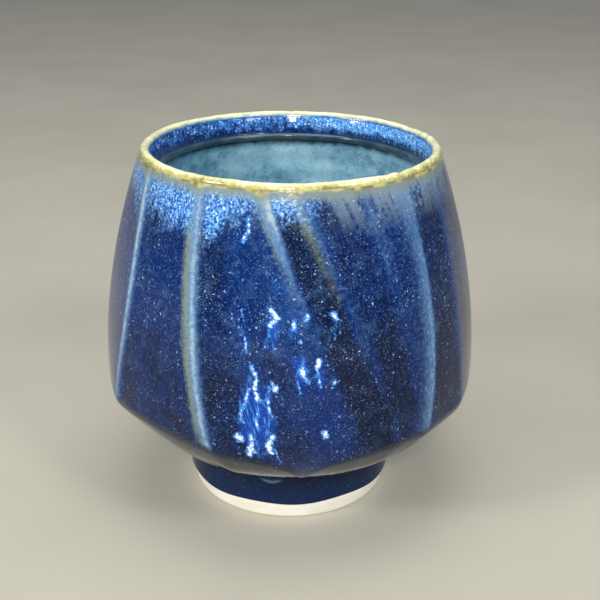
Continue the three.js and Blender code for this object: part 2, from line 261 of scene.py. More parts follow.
def rounded_scale(angle, height):
    """The same with the crests rounded over about twice CREST_ROUNDING to each side."""
    total = 0
    weights = 0
    for step in np.linspace(-2, 2, 9):
        weight = math.exp(-step * step / 2)
        aside = np.degrees(step * CREST_ROUNDING / wall_radius(height))
        total = total + weight * cut_scale(angle + aside, height)
        weights += weight
    return total / weights


def make_waves(seed, count, most_around, radian_height):
    """Sine waves for slow unevenness that closes on itself: up to most_around waves round the pot, and at
    least radian_height millimetres for each radian up it."""
    random = np.random.default_rng(seed)
    return [(int(random.integers(1, most_around + 1)), random.uniform(-1, 1) / radian_height,
             random.uniform(0, 2 * math.pi)) for _ in range(count)]


def unevenness(waves, angle, height):
    """Between about -1 and 1."""
    total = sum(np.sin(around * np.radians(angle) + up * height + phase) for around, up, phase in waves)
    return total / math.sqrt(len(waves))


def on_circle(radius, angle, height):
    """Points at radii, angles in degrees and heights."""
    turn = np.radians(angle)
    return np.stack(np.broadcast_arrays(radius * np.sin(turn), -radius * np.cos(turn), height), -1)


# ---------- meshes ----------

SHARP_ANGLE = 50


def add_piece(name, rows, material, replaced, attributes=None, is_ring=True):
    """A piece over a grid of points, rows[row][column], whose columns close round the pot. A ring's last
    row also joins its first, and any other piece starts and ends on the axis."""
    count, columns = rows.shape[:2]
    index = np.arange(count * columns).reshape(count, columns)
    below = index if is_ring else index[:-1]
    above = np.roll(index, -1, axis=0) if is_ring else index[1:]
    faces = np.stack([below, np.roll(below, -1, axis=1), np.roll(above, -1, axis=1), above], -1)
    mesh = bpy.data.meshes.new(name)
    mesh.from_pydata((rows.reshape(-1, 3) * MM).tolist(), [], faces.reshape(-1, 4).tolist())
    for key, values in (attributes or {}).items():
        is_vector = values.ndim == 3
        layer = mesh.attributes.new(key, "FLOAT_VECTOR" if is_vector else "FLOAT", "POINT")
        layer.data.foreach_set("vector" if is_vector else "value", values.astype(np.float32).ravel())
    editing = bmesh.new()
    editing.from_mesh(mesh)
    if not is_ring:
        bmesh.ops.remove_doubles(editing, verts=editing.verts, dist=1e-7)
    bmesh.ops.recalc_face_normals(editing, faces=editing.faces)
    editing.to_mesh(mesh)
    editing.free()
    mesh.shade_smooth()
    mesh.set_sharp_from_angle(angle=math.radians(SHARP_ANGLE))
    mesh.materials.append(material)
    piece = bpy.data.objects.new(name, mesh)
    bpy.context.scene.collection.objects.link(piece)
    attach(piece, "root")
    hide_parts(*replaced)
    return piece


def turned_rows(profile, columns):
    """The grid of a turned surface: profile is a list of (radius, height), a column for each angle."""
    angle = np.linspace(-180, 180, columns, endpoint=False)
    radius, height = np.array(profile, float).T
    return np.broadcast_to(angle, (len(radius), columns)), radius[:, None], height[:, None]


def smooth_path(points, count):
    """A smooth path of count points through (radius, height) points, by Catmull-Rom curves."""
    p = np.array(points, float)
    p = np.vstack([2 * p[0] - p[1], p, 2 * p[-1] - p[-2]])
    at = np.linspace(0, len(points) - 1, count)
    i = np.minimum(at.astype(int), len(points) - 2)
    t = (at - i)[:, None]
    a, b, c, d = p[i], p[i + 1], p[i + 2], p[i + 3]
    return 0.5 * (2 * b + (c - a) * t + (2 * a - 5 * b + 4 * c - d) * t ** 2
                  + (3 * b - a - 3 * c + d) * t ** 3)


# ---------- materials ----------

def rgb(red, green, blue):
    """A linear colour from 0-255 display values."""
    return tuple(((v / 255 + 0.055) / 1.055) ** 2.4 if v > 10 else v / 255 / 12.92
                 for v in (red, green, blue)) + (1.0,)


class Finish:
    """One material, with short calls for its nodes."""

    def __init__(self, name, **settings):
        self.material = bpy.data.materials.new(name)
        self.material.use_nodes = True
        self.tree = self.material.node_tree
        self.shader = self.tree.nodes["Principled BSDF"]
        for socket, value in settings.items():
            self.shader.inputs[socket.replace("_", " ")].default_value = value
        coordinates = self.tree.nodes.new("ShaderNodeTexCoord")
        self.place = self.scaled(coordinates.outputs["Object"], (1 / MM,) * 3)

    def put(self, socket, value):
        if isinstance(value, bpy.types.NodeSocket):
            self.tree.links.new(value, socket)
        else:
            socket.default_value = value

    def node(self, kind, inputs, **properties):
        node = self.tree.nodes.new("ShaderNode" + kind)
        for key, value in properties.items():
            setattr(node, key, value)
        for key, value in inputs.items():
            self.put(node.inputs[key], value)
        return node

    def scaled(self, vector, factors):
        return self.node("VectorMath", {0: vector, 1: factors}, operation="MULTIPLY").outputs[0]

    def shifted(self, vector, offset):
        return self.node("VectorMath", {0: vector, 1: offset}, operation="ADD").outputs[0]

    def value(self, name):
        return self.node("Attribute", {}, attribute_name=name).outputs["Fac"]

    def vector(self, name):
        return self.node("Attribute", {}, attribute_name=name).outputs["Vector"]

    def maths(self, operation, a, b=0.0, c=0.0):
        return self.node("Math", {0: a, 1: b, 2: c}, operation=operation).outputs[0]

    def times(self, a, b):
        return self.maths("MULTIPLY", a, b)

    def plus(self, a, b):
        return self.maths("ADD", a, b)

    def uneven(self, value, noise, amount):
        """A value that swings with noise by up to half of amount to each side."""
        return self.plus(value, self.times(self.plus(noise, -0.5), amount))

    def limited(self, a):
        return self.node("Math", {0: a, 1: 0.0}, operation="ADD", use_clamp=True).outputs[0]

    def ramped(self, value, low, high, to_low=0.0, to_high=1.0):
        return self.node("MapRange", {"Value": value, 1: low, 2: high, 3: to_low, 4: to_high},
                         interpolation_type="SMOOTHSTEP").outputs[0]

    def noise(self, size, detail=2.0, roughness=0.5, where=None, distortion=0.0):
        """Cloudy noise whose patches are about size millimetres."""
        inputs = {"Vector": where or self.place, "Scale": 1 / size, "Detail": detail,
                  "Roughness": roughness, "Distortion": distortion}
        return self.node("TexNoise", inputs).outputs["Fac"]

    def speckle(self, spacing, radius, share, where=None):
        """Dots at random places about spacing apart: 1 in a dot, and only a share of them is there."""
        cells = self.node("TexVoronoi", {"Vector": where or self.place, "Scale": 1 / spacing})
        edge = radius / spacing
        dot = self.ramped(cells.outputs["Distance"], edge, edge * 0.45)
        chosen = self.node("SeparateColor", {0: cells.outputs["Color"]}).outputs[0]
        return self.times(dot, self.ramped(chosen, 1 - share, 1 - share * 0.6))

    def stirred(self, amount, size):
        """The place, shifted by up to about amount millimetres in small eddies of the given size."""
        noise = self.node("TexNoise", {"Vector": self.place, "Scale": 1 / size, "Detail": 1.0})
        centred = self.shifted(noise.outputs["Color"], (-0.5, -0.5, -0.5))
        return self.shifted(self.scaled(centred, (2 * amount,) * 3), self.place)

    def mix(self, amount, a, b):
        node = self.node("Mix", {0: amount, 6: a, 7: b}, data_type="RGBA")
        return node.outputs[2]

    def bump(self, height, distance, normal=None):
        """Distance in millimetres for a height of 1."""
        inputs = {"Height": height, "Distance": distance * MM, "Strength": 1.0}
        if normal:
            inputs["Normal"] = normal
        return self.node("Bump", inputs).outputs[0]

    def done(self, colour, roughness, normal):
        self.put(self.shader.inputs["Base Color"], colour)
        self.put(self.shader.inputs["Roughness"], roughness)
        self.put(self.shader.inputs["Normal"], normal)
        return self.material


NAVY = rgb(4, 20, 56)
COBALT = rgb(0, 36, 98)
BRIGHT_COBALT = rgb(26, 86, 170)
LOW_NAVY = rgb(0, 14, 48)
LOW_COBALT = rgb(0, 34, 96)
DUSK = rgb(56, 92, 138)
AZURE = rgb(32, 104, 196)
CYAN = rgb(124, 186, 236)
ICE = rgb(206, 238, 252)
WHITE_CRYSTAL_AND_GLINT = rgb(226, 240, 250)
PALE_BLUE = rgb(96, 138, 184)
PALE_CREST = rgb(186, 208, 208)
STRAW = rgb(132, 148, 124)
MILK = rgb(128, 150, 168)
HONEY = rgb(196, 190, 122)
OLIVE = rgb(124, 120, 78)
FROST = rgb(62, 104, 158)
STRAW_CREST = rgb(186, 192, 152)
POOL_BLUE = rgb(6, 72, 184)
THREAD_BLUE = rgb(84, 166, 240)
SNOW = rgb(158, 190, 228)
DIM_SNOW = rgb(130, 158, 198)
# The next colour is a painted highlight on the foot, under the tongue.
DRIP_HIGHLIGHT_BLUE = rgb(112, 150, 178)
VEIN_BLUE = rgb(58, 136, 226)
GREY_BREAK = rgb(128, 140, 132)


def speckled(f, colour, amount, tint):
    """Crystals like fine snow all over: mostly dust, some flakes and a few larger flecks."""
    stirred = f.stirred(0.45, 0.7)
    dust = f.times(f.speckle(0.4, 0.14, 0.8, stirred), 0.45)
    flakes = f.times(f.speckle(0.8, 0.2, 0.6, stirred), 0.75)
    flecks = f.speckle(1.6, 0.34, 0.5, stirred)
    dots = f.maths("MAXIMUM", f.maths("MAXIMUM", dust, flakes), flecks)
    thick = f.ramped(f.noise(6, 2, 0.5), 0.3, 0.62, 0.4, 1.0)
    return f.mix(f.times(f.times(dots, thick), amount), colour, tint)


def wall_finish():
    """Glossy cobalt glaze that turns pale on the cut edges, partly where it breaks thin and partly as
    painted sheen, with crystals and runs.
    """
    f = Finish("cobalt_wall", IOR=1.31)
    flow = f.vector("flow")
    streaky = f.noise(2.2, 3, 0.6, f.scaled(flow, (1, 1, 0.13)))
    cloudy = f.noise(14, 3, 0.55)
    patchy = f.noise(4.5, 4, 0.65, f.scaled(flow, (1, 1, 0.6)))
    fine = f.noise(1.1, 2, 0.6)
    finest = f.noise(0.55, 1, 0.5)
    fibrous = f.noise(1.1, 2, 0.6, f.scaled(flow, (1, 1, 0.3)))
    grain = f.uneven(f.plus(fine, -0.5), fibrous, 0.6)

    # The depth of the blue, clouded and streaked, and darker and quieter low on the wall; the darkening
    # there is painted shade that offsets the pale floor's reflection.
    depth = f.uneven(f.value("tone"), streaky, 0.8)
    depth = f.uneven(depth, cloudy, 1.1)
    depth = f.uneven(depth, patchy, 1.4)
    low = f.ramped(f.node("SeparateXYZ", {0: f.place}).outputs[2], 80, 45)
    # Painted shade: darker low on the wall, against the floor's reflection.
    depth = f.plus(depth, f.times(low, -0.35))
    upper = f.ramped(low, 0.0, 1.0, 1.0, 0.4)
    depth = f.uneven(depth, fine, 1.2)
    # The low navy and low cobalt are painted shade as well.
    colour = f.mix(f.ramped(depth, -1.1, 0.0), f.mix(low, NAVY, LOW_NAVY), f.mix(low, COBALT, LOW_COBALT))
    colour = f.mix(f.ramped(depth, 0.0, 1.3), colour, BRIGHT_COBALT)
    dusky = f.noise(5.5, 4, 0.65, f.shifted(f.place, (40, 0, 0)))
    colour = f.mix(f.times(f.ramped(dusky, 0.5, 0.74, 0.0, 0.5), upper), colour, DUSK)
    frosty = f.noise(1.5, 3, 0.7, f.shifted(f.place, (0, 0, 90)))
    frost = f.times(f.ramped(frosty, 0.5, 0.72, 0.0, 0.35), f.ramped(depth, -1.1, 0.0, 0.2, 1.0))
    colour = f.mix(f.times(frost, upper), colour, FROST)
    streaks = f.noise(4, 3, 0.6, f.scaled(flow, (1, 1, 0.1)))
    milky = f.ramped(f.uneven(streaks, fine, 0.35), 0.4, 0.58, 0.15, 1.0)
    colour = f.mix(f.times(f.value("haze"), milky), colour, MILK)

    # Pale edges, where the glaze breaks thin and partly a painted sheen of reflected light on the crests,
    # with straw beside them.
    warm = f.ramped(f.plus(f.value("warm"), f.times(grain, 0.6)), 0.1, 1.1)
    colour = f.mix(f.times(warm, 0.85), colour, STRAW)
    pale = f.plus(f.value("pale"), f.times(grain, 0.6))
    colour = f.mix(f.ramped(pale, 0.0, 0.95, 0.0, 0.85), colour, PALE_BLUE)
    crest_tint = f.mix(f.times(f.limited(f.value("warm")), 0.8), PALE_CREST, STRAW_CREST)
    colour = f.mix(f.ramped(pale, 0.62, 1.2, 0.0, 0.9), colour, crest_tint)

    # Azure crystals under the lip: deep blue between them, cyan and ice on them.
    cover = f.plus(f.times(f.plus(patchy, -0.5), 1.2), f.times(grain, 0.7))
    azure = f.ramped(f.plus(f.value("azure"), cover), 0.25, 1.0)
    colour = f.mix(f.times(azure, 0.72), colour, AZURE)
    cyan = f.times(azure, f.ramped(f.plus(f.times(fine, 0.7), f.times(finest, 0.7)), 0.62, 0.82))
    colour = f.mix(f.times(cyan, 0.8), colour, CYAN)
    sparkle = f.times(azure, f.speckle(0.9, 0.36, 0.8, f.stirred(0.5, 0.8)))
    colour = f.mix(f.times(sparkle, 0.9), colour, ICE)

    # Bright pools round the runs, with threads of crystals down them.
    pool = f.ramped(f.uneven(f.value("pool"), fibrous, 1.3), 0.25, 0.85)
    colour = f.mix(f.times(pool, 0.6), colour, POOL_BLUE)
    strands = f.noise(1.3, 2, 0.6, f.scaled(flow, (1, 1, 0.14)), 0.4)
    thread = f.ramped(f.maths("ABSOLUTE", f.plus(strands, -0.5)), 0.045, 0.0)
    colour = f.mix(f.times(f.times(pool, thread), 0.6), colour, THREAD_BLUE)

    colour = speckled(f, colour, f.ramped(low, 0.0, 1.0, 0.85, 0.6), SNOW)

    # The runs themselves: azure veins, white where they are thick; one of them is a painted highlight.
    ragged = f.uneven(f.value("run"), f.noise(0.9, 3, 0.65), 1.3)
    halo = f.ramped(ragged, 0.42, 0.62)
    colour = f.mix(f.times(halo, 0.8), colour, VEIN_BLUE)
    core = f.ramped(ragged, 0.64, 0.86)
    colour = f.mix(core, colour, WHITE_CRYSTAL_AND_GLINT)

    # The glaze breaks to grey and honey just under the lip.
    near_lip = f.uneven(f.value("near_lip"), fibrous, 0.6)
    colour = f.mix(f.times(f.ramped(near_lip, 0.15, 0.8), 0.85), colour, GREY_BREAK)
    near_lip = f.uneven(f.value("near_lip"), patchy, 0.35)
    edge_tint = f.mix(f.ramped(f.noise(4, 2, 0.5), 0.4, 0.6), OLIVE, HONEY)
    colour = f.mix(f.ramped(f.plus(near_lip, f.times(grain, 0.15)), 0.82, 1.05), colour, edge_tint)

    rough = f.plus(0.09, f.times(f.limited(f.plus(azure, f.plus(core, pool))), 0.04))
    crystals = f.plus(core, f.times(f.plus(azure, pool), f.times(fine, 0.35)))
    normal = f.bump(f.noise(2.6, 1, 0.4), 0.05)
    normal = f.bump(crystals, 0.05, normal)
    return f.done(colour, rough, normal)


def plain_cobalt_finish(name, dark, light, speckle_amount):
    """The same glaze where it lies quiet, under the belly and on the foot: dark at the top, lighter
    towards the glaze line, and pale where a piece has a painted highlight, on glaze that ran and pooled."""
    f = Finish(name, IOR=1.31)
    cloudy = f.noise(12, 2, 0.5)
    fine = f.noise(0.9, 2, 0.6)
    height = f.node("SeparateXYZ", {0: f.place}).outputs[2]
    depth = f.plus(f.times(cloudy, 0.5), f.ramped(height, 17, 5, 0.0, 0.6))
    colour = f.mix(f.ramped(depth, 0.1, 0.85), dark, light)
    colour = speckled(f, colour, speckle_amount, DIM_SNOW)
    # Painted highlight: a pale crescent of reflected light on the foot.
    drip_highlight = f.times(f.value("drip_highlight"), f.ramped(fine, 0.2, 0.7, 0.5, 1.0))
    colour = f.mix(drip_highlight, colour, DRIP_HIGHLIGHT_BLUE)
    rough = f.ramped(fine, 0.3, 0.8, 0.07, 0.12)
    return f.done(colour, rough, f.bump(f.noise(2.2, 1, 0.4), 0.03))


def collar_finish():
    """The glossy collar inside the lip, thick with crystals."""
    f = Finish("cobalt_collar", IOR=1.4)
    fine = f.noise(0.9, 2, 0.6)
    medium = f.noise(2.4, 2, 0.6)
    depth = f.uneven(medium, fine, 0.4)
    colour = f.mix(f.ramped(depth, 0.3, 0.72), rgb(1, 32, 90), rgb(18, 88, 178))
    cover = f.plus(f.value("azure"), f.plus(f.times(fine, 0.5), f.times(medium, 1.1)))
    azure = f.ramped(cover, 0.85, 1.5)
    colour = f.mix(f.times(azure, 0.75), colour, rgb(50, 132, 222))
    cyan = f.times(azure, f.ramped(f.noise(0.55, 1, 0.5), 0.42, 0.6))
    colour = f.mix(f.times(cyan, 0.8), colour, rgb(142, 204, 252))
    sparkle = f.times(f.ramped(cover, 0.6, 1.2), f.speckle(1.0, 0.38, 0.75, f.stirred(0.5, 0.8)))
    colour = f.mix(f.times(sparkle, 0.9), colour, rgb(206, 238, 255))
    low = f.uneven(f.value("level"), medium, 0.6)
    colour = f.mix(f.times(f.ramped(low, 0.5, 0.1), 0.8), colour, rgb(4, 34, 86))
    colour = speckled(f, colour, 0.7, rgb(140, 184, 232))
    normal = f.bump(f.noise(1.8, 1, 0.4), 0.04)
    normal = f.bump(fine, 0.015, normal)
    return f.done(colour, f.ramped(fine, 0.3, 0.8, 0.06, 0.14), normal)


def lip_finish():
    """Thin honey glaze on the rounded lip: cream on the crest, partly a painted highlight; olive outside
    where the glaze breaks, partly painted shade; and blue inside.
    """
    f = Finish("honey_lip", Coat_Weight=0.3, Coat_Roughness=0.1)
    broad = f.noise(9, 3, 0.6)
    fine = f.noise(1.1, 2, 0.6)
    across = f.value("across")
    ragged = f.uneven(across, fine, 0.25)
    # Cream on the crest is partly painted highlight, and olive low on the outer side partly painted shade.
    depth = f.plus(f.ramped(ragged, 0.08, 0.42, 0.0, 0.4), f.uneven(broad, fine, 0.45))
    colour = f.mix(f.ramped(depth, 0.3, 0.66), rgb(130, 126, 76), rgb(196, 192, 120))
    colour = f.mix(f.ramped(depth, 0.62, 0.95), colour, rgb(240, 242, 198))
    colour = f.mix(f.times(f.speckle(1.7, 0.3, 0.3), 0.4), colour, rgb(128, 104, 58))
    colour = f.mix(f.times(f.speckle(1.1, 0.22, 0.3), 0.5), colour, rgb(238, 236, 200))
    inside = f.uneven(across, f.noise(2.2, 3, 0.6), 0.3)
    colour = f.mix(f.ramped(inside, 0.68, 0.82), colour, rgb(150, 176, 170))
    colour = f.mix(f.ramped(inside, 0.8, 0.95), colour, rgb(30, 96, 170))
    normal = f.bump(f.noise(1.7, 2, 0.5), 0.12)
    return f.done(colour, f.ramped(fine, 0.3, 0.8, 0.2, 0.36), normal)


def ridge_finish():
    """The thin ridge under the collar: the glaze runs off it and turns to a greyish blue."""
    f = Finish("honey_ridge", Coat_Weight=0.4, Coat_Roughness=0.06)
    fine = f.noise(0.9, 2, 0.6)
    broad = f.noise(6, 2, 0.5)
    colour = f.mix(f.ramped(broad, 0.35, 0.65), rgb(26, 60, 82), rgb(62, 86, 90))
    level = f.uneven(f.value("height"), fine, 0.2)
    colour = f.mix(f.ramped(level, 0.72, 0.95), colour, rgb(8, 34, 80))
    # Darker at the bottom of the ridge: painted shade in the undercut.
    colour = f.mix(f.ramped(level, 0.3, 0.05), colour, rgb(14, 40, 54))
    return f.done(colour, f.ramped(fine, 0.3, 0.8, 0.14, 0.28), f.bump(f.noise(1.6, 1, 0.5), 0.06))


def liner_finish():
    """Satin, cloudy pale blue inside the bowl."""
    f = Finish("pale_liner", Coat_Weight=0.25, Coat_Roughness=0.15)
    cloudy = f.noise(11, 4, 0.6)
    patchy = f.noise(3.2, 3, 0.6)
    fine = f.noise(0.8, 2, 0.6)
    depth = f.plus(f.times(cloudy, 0.65), f.uneven(f.times(patchy, 0.35), fine, 0.15))
    # Darker towards the left side of the bowl: painted shade.
    side = f.node("SeparateXYZ", {0: f.place}).outputs[0]
    depth = f.plus(depth, f.ramped(side, -42, 10, -0.1, 0.0))
    colour = f.mix(f.ramped(depth, 0.32, 0.54), rgb(94, 142, 168), rgb(150, 198, 214))
    colour = f.mix(f.ramped(depth, 0.5, 0.66), colour, rgb(172, 214, 224))
    blue = f.ramped(f.noise(5, 3, 0.6, f.shifted(f.place, (0, 60, 0))), 0.52, 0.7)
    colour = f.mix(f.times(blue, 0.45), colour, rgb(92, 150, 190))
    # Darkest just under the ridge: glaze pooled there, and painted shade from the undercut.
    pooled_and_shaded = f.uneven(f.value("height"), patchy, 0.06)
    colour = f.mix(f.times(f.ramped(pooled_and_shaded, 0.965, 1.0), 0.95), colour, rgb(6, 38, 56))
    colour = f.mix(f.times(f.speckle(2.4, 0.3, 0.3), 0.4), colour, rgb(70, 104, 120))
    normal = f.bump(f.noise(2.4, 2, 0.5), 0.05)
    return f.done(colour, f.ramped(patchy, 0.3, 0.7, 0.28, 0.42), normal)


def clay_finish(name):
    """Bare cream stoneware: fine grain, a few darker grits, turning lines."""
    f = Finish(name)
    fine = f.noise(0.35, 3, 0.65)
    broad = f.noise(8, 3, 0.55)
    colour = f.mix(f.ramped(broad, 0.3, 0.7), rgb(243, 240, 224), rgb(252, 250, 238))
    colour = f.mix(f.times(f.ramped(fine, 0.5, 0.75), 0.25), colour, rgb(222, 214, 190))
    colour = f.mix(f.times(f.speckle(2.6, 0.16, 0.25), 0.55), colour, rgb(140, 118, 88))
    lines = f.noise(0.5, 1, 0.5, f.scaled(f.place, (0.02, 0.02, 1)))
    normal = f.bump(f.plus(f.times(fine, 0.7), f.times(lines, 0.5)), 0.05)
    return f.done(colour, f.ramped(fine, 0.3, 0.7, 0.72, 0.9), normal)


# ---------- the wall and the underside ----------

COLUMNS_PER_FACET = 28
CROWDING = 0.65
WALL_ROWS = 150
FILLET_ROWS = 12
UNDER_WALL_ROWS = 6
UNDERSIDE_ROWS = 110
BACK_ROWS = 8
WALL_WAVES = make_waves(3, 9, 9, 14)
WALL_UNEVENNESS = 0.07
# How far the rounding of the knee reaches: where the knee dips by DEEP_DIP or more, and where it doesn't.
SHARP_FILLET = 0.8
SOFT_FILLET = 2.2
DEEP_DIP = 8
# About how long the underside is from the foot to the knee.
UNDERSIDE_LENGTH = 30
# The part of the underside, past the rounding, that the wall's coat covers before its seam.
SEAM_STEP = 0.11


def column_angles(height):
    """The angle of every column of the wall at the heights of one row, in degrees. Columns crowd
    towards the cut edges and follow them."""
    even = np.linspace(0, 1, COLUMNS_PER_FACET, endpoint=False)
    crowded = (1 - CROWDING) * even + CROWDING * (0.5 - 0.5 * np.cos(math.pi * even))
    angles = []
    for i, edge in enumerate(EDGES):
        after = EDGES[(i + 1) % len(EDGES)]
        full_turn = 360 if i + 1 == len(EDGES) else 0
        part = height[i * COLUMNS_PER_FACET:(i + 1) * COLUMNS_PER_FACET]
        start = between_lip_and_knee(edge.angles, part)
        end = between_lip_and_knee(after.angles, part) + full_turn
        angles.append(start + (end - start) * crowded)
    return np.concatenate(angles)


ALL_COLUMNS = COLUMNS_PER_FACET * len(EDGES)
KNEE_ANGLES = column_angles(np.full(ALL_COLUMNS, KNEE_HEIGHT))
KNEES = knee_height(KNEE_ANGLES)
KNEE_PARTS = underside_part(KNEES)
# The knee is rounded, and sharper where it dips.
FILLETS = np.interp(KNEES, [KNEE_HEIGHT - DEEP_DIP, KNEE_HEIGHT], [SHARP_FILLET, SOFT_FILLET])


def belly_rows(heights, radii):
    """Angles and radii of the faceted surface, for rows of heights and of radii before the cut."""
    angle = np.array([column_angles(row) for row in heights])
    swell = WALL_UNEVENNESS * unevenness(WALL_WAVES, angle, heights)
    fade = np.clip((heights - 20) / 15, 0, 1) * np.clip((LIP_BASE - heights) / 6, 0, 1)
    return angle, radii * rounded_scale(angle, heights) + swell * fade


def fillet_curve(start, corner, end):
    """The rounding of the knee, from start to end, drawn towards the corner between them."""
    t = np.linspace(0, 1, FILLET_ROWS + 2)[1:-1, None]
    return (1 - t) ** 2 * start + 2 * t * (1 - t) * corner + t ** 2 * end


# Every column runs down the wall, round the knee and in under the belly.
down = np.linspace(0, 1, WALL_ROWS)[:, None]
wall_heights = LIP_BASE + (KNEES + FILLETS - LIP_BASE) * down
wall_radii = wall_point(wall_heights, KNEES)
corner_radius, corner_height = underside_point(KNEE_PARTS)
fillet_parts = KNEE_PARTS - FILLETS / UNDERSIDE_LENGTH
fillet_end_radius, fillet_end_height = underside_point(fillet_parts)
fillet_heights = fillet_curve(wall_heights[-1], corner_height, fillet_end_height)
fillet_radii = fillet_curve(wall_radii[-1], corner_radius, fillet_end_radius)
under_parts = fillet_parts - SEAM_STEP * np.linspace(0, 1, UNDER_WALL_ROWS)[:, None]
under_radii, under_heights = underside_point(under_parts)
heights = np.vstack([wall_heights, fillet_heights, under_heights])
radii = np.vstack([wall_radii, fillet_radii, under_radii])
wall_angle, wall_r = belly_rows(heights, radii)


def back_of(angle, radius, height, rows):
    """The hidden back of a coat: a few rows of the front, moved in by the coat's thickness and
    walked the other way."""
    picked = np.unique(np.linspace(0, len(height) - 1, rows).astype(int))[::-1]
    along_r = np.gradient(radius, axis=0)[picked]
    along_z = np.gradient(height, axis=0)[picked]
    length = np.hypot(along_r, along_z) + 1e-9
    return on_circle(radius[picked] + along_z / length * COAT, angle[picked],
                     height[picked] - along_r / length * COAT)


def add_coat(name, surface, material, replaced, marks=None, back_rows=BACK_ROWS, is_ring=True):
    """A coat of glaze over the angles, radii and heights of its surface, with its marks, which are 0 on
    the hidden back."""
    angle, radius, height = np.broadcast_arrays(*surface)
    back = back_of(angle, radius, height, back_rows)
    marks = {key: np.concatenate([front, np.zeros((len(back),) + front.shape[1:])])
             for key, front in (marks or {}).items()}
    add_piece(name, np.concatenate([on_circle(radius, angle, height), back]), material, replaced,
              marks, is_ring)


# How far to the left of the paleness the straw lies, and how far it spreads.
WARM_ASIDE = 1.6
WARM_SPREAD = 1.9
# The share of a facet at each side over which its tone eases in.
EASED_SHARE = 0.28


def edge_marks(angle, height):
    """The pale and the warm marks of all the cut edges."""
    radius = wall_radius(height)
    pale = np.zeros_like(angle)
    warm = np.zeros_like(angle)
    for edge in EDGES:
        aside = np.radians(turn_between(angle, between_lip_and_knee(edge.angles, height))) * radius
        aside = aside - between_lip_and_knee(edge.aside, height)
        left, right = edge.spread
        spread = np.where(aside < 0, left, right)
        widened = spread * (1 + 0.35 * np.clip((height - 85) / 15, 0, 1))
        amount = np.clip(between_lip_and_knee(edge.pale, height), 0, 1)
        pale = np.maximum(pale, amount * np.exp(-(aside / widened) ** 2))
        amount = np.clip(between_lip_and_knee(edge.warm, height), 0, 1)
        warm = np.maximum(warm, amount * np.exp(-((aside + WARM_ASIDE) / WARM_SPREAD) ** 2))
    return pale, warm


def facet_tone(angle, height):
    """The tone of the facet, which eases to nothing at its two cut edges."""
    tone = np.zeros_like(angle)
    for i, edge in enumerate(EDGES):
        after = EDGES[(i + 1) % len(EDGES)]
        full_turn = 360 if i + 1 == len(EDGES) else 0
        start = between_lip_and_knee(edge.angles, height)
        end = between_lip_and_knee(after.angles, height) + full_turn
        part = (angle - start) / (end - start)
        ease = np.clip((0.5 - np.abs(part - 0.5)) / EASED_SHARE, 0, 1)
        ease = ease * ease * (3 - 2 * ease)
        tone = np.where((part >= 0) & (part < 1), FACET_TONES[i] * ease, tone)
    return tone


def run_marks(angle, height):
    """About 1 on the middle line of a wide run of crystals and less on a thin one, falling to 0 at
    three half widths."""
    radius = wall_radius(height)
    marks = np.zeros_like(angle)
    for half_width, points in RUNS:
        peak = min(1, 0.5 + 0.8 * half_width)
        ends = zip(points, points[1:]) if len(points) > 1 else [(points[0], points[0])]
        for (a0, z0), (a1, z1) in ends:
            x = np.radians(turn_between(angle, a0)) * radius
            along = np.radians(a1 - a0) * wall_radius(np.array((z0 + z1) / 2))
            span = along ** 2 + (z1 - z0) ** 2 + 1e-9
            part = np.clip((x * along + (height - z0) * (z1 - z0)) / span, 0, 1)
            away = np.hypot(x - part * along, height - z0 - part * (z1 - z0))
            marks = np.maximum(marks, peak * (1 - away / (3 * half_width)))
    return marks


def pool_marks(angle, height):
    marks = np.zeros_like(angle)
    for middle, level, half_width, half_height, strength in POOLS:
        away = np.hypot(turn_between(angle, middle) / half_width, (height - level) / half_height)
        marks = np.maximum(marks, strength * np.clip(1.25 - away, 0, 1))
    return marks


def azure_marks(angle, height):
    """How much of the crystal band there is: all of it near the lip, fading out round its reach."""
    at, reach, strength = np.array(AZURE_REACH).T
    turned = turn_between(angle, 0)
    low = np.interp(turned, at, reach)
    return np.clip((height - low + 4) / 9, 0, 1) * np.interp(turned, at, strength)


def haze_marks(angle, height):
    at, amount = np.array(HAZE).T
    return np.clip((height - 93) / 10, 0, 1) * np.interp(turn_between(angle, 0), at, amount)


pale, warm = edge_marks(wall_angle, heights)
above_knee = np.clip((heights - (KNEES - 0.5)) / 2.5, 0, 1)
lip_angles = column_angles(np.full(ALL_COLUMNS, LIP_BASE))
flow = np.broadcast_to(np.radians(lip_angles), wall_angle.shape)
FLOW_RADIUS = 48
wall_marks = {
    "pale": pale * above_knee,
    "warm": warm * above_knee,
    # Below the knee the tone drops by 0.8: painted shade to meet the underside.
    "tone": facet_tone(wall_angle, heights) - 0.8 * (1 - above_knee),
    "azure": azure_marks(wall_angle, heights) * (1 - 0.8 * pale),
    "haze": haze_marks(wall_angle, heights),
    "run": run_marks(wall_angle, heights) * above_knee,
    "pool": pool_marks(wall_angle, heights) * above_knee,
    "near_lip": np.clip(1.05 - (LIP_BASE - heights) / 4, 0, 1) + 0.25 * warm * (heights > 98),
    "flow": np.stack([FLOW_RADIUS * np.cos(flow), FLOW_RADIUS * np.sin(flow), heights], -1),
}
add_coat("wall_coat", (wall_angle, wall_r, heights), wall_finish(), ["wall_glaze"],
         wall_marks)

FOOT_FLARE = 2.2
start_part = FOOT_FLARE / (KNEE_RADIUS - FOOT_RADIUS)
inward = np.linspace(0, 1, UNDERSIDE_ROWS)[:, None]
parts = under_parts[-1] + (start_part - under_parts[-1]) * inward
radii, heights = underside_point(parts)
angle, radius = belly_rows(heights, radii)
# The underside's colours are painted shade: the same cobalt glaze, made much darker where the belly faces
# down.
add_coat("underside_coat", (angle, radius, heights),
         plain_cobalt_finish("cobalt_underside_painted_shade", rgb(4, 9, 22), rgb(12, 24, 50), 0.6),
         ["underside_glaze"])


# ---------- the foot ----------

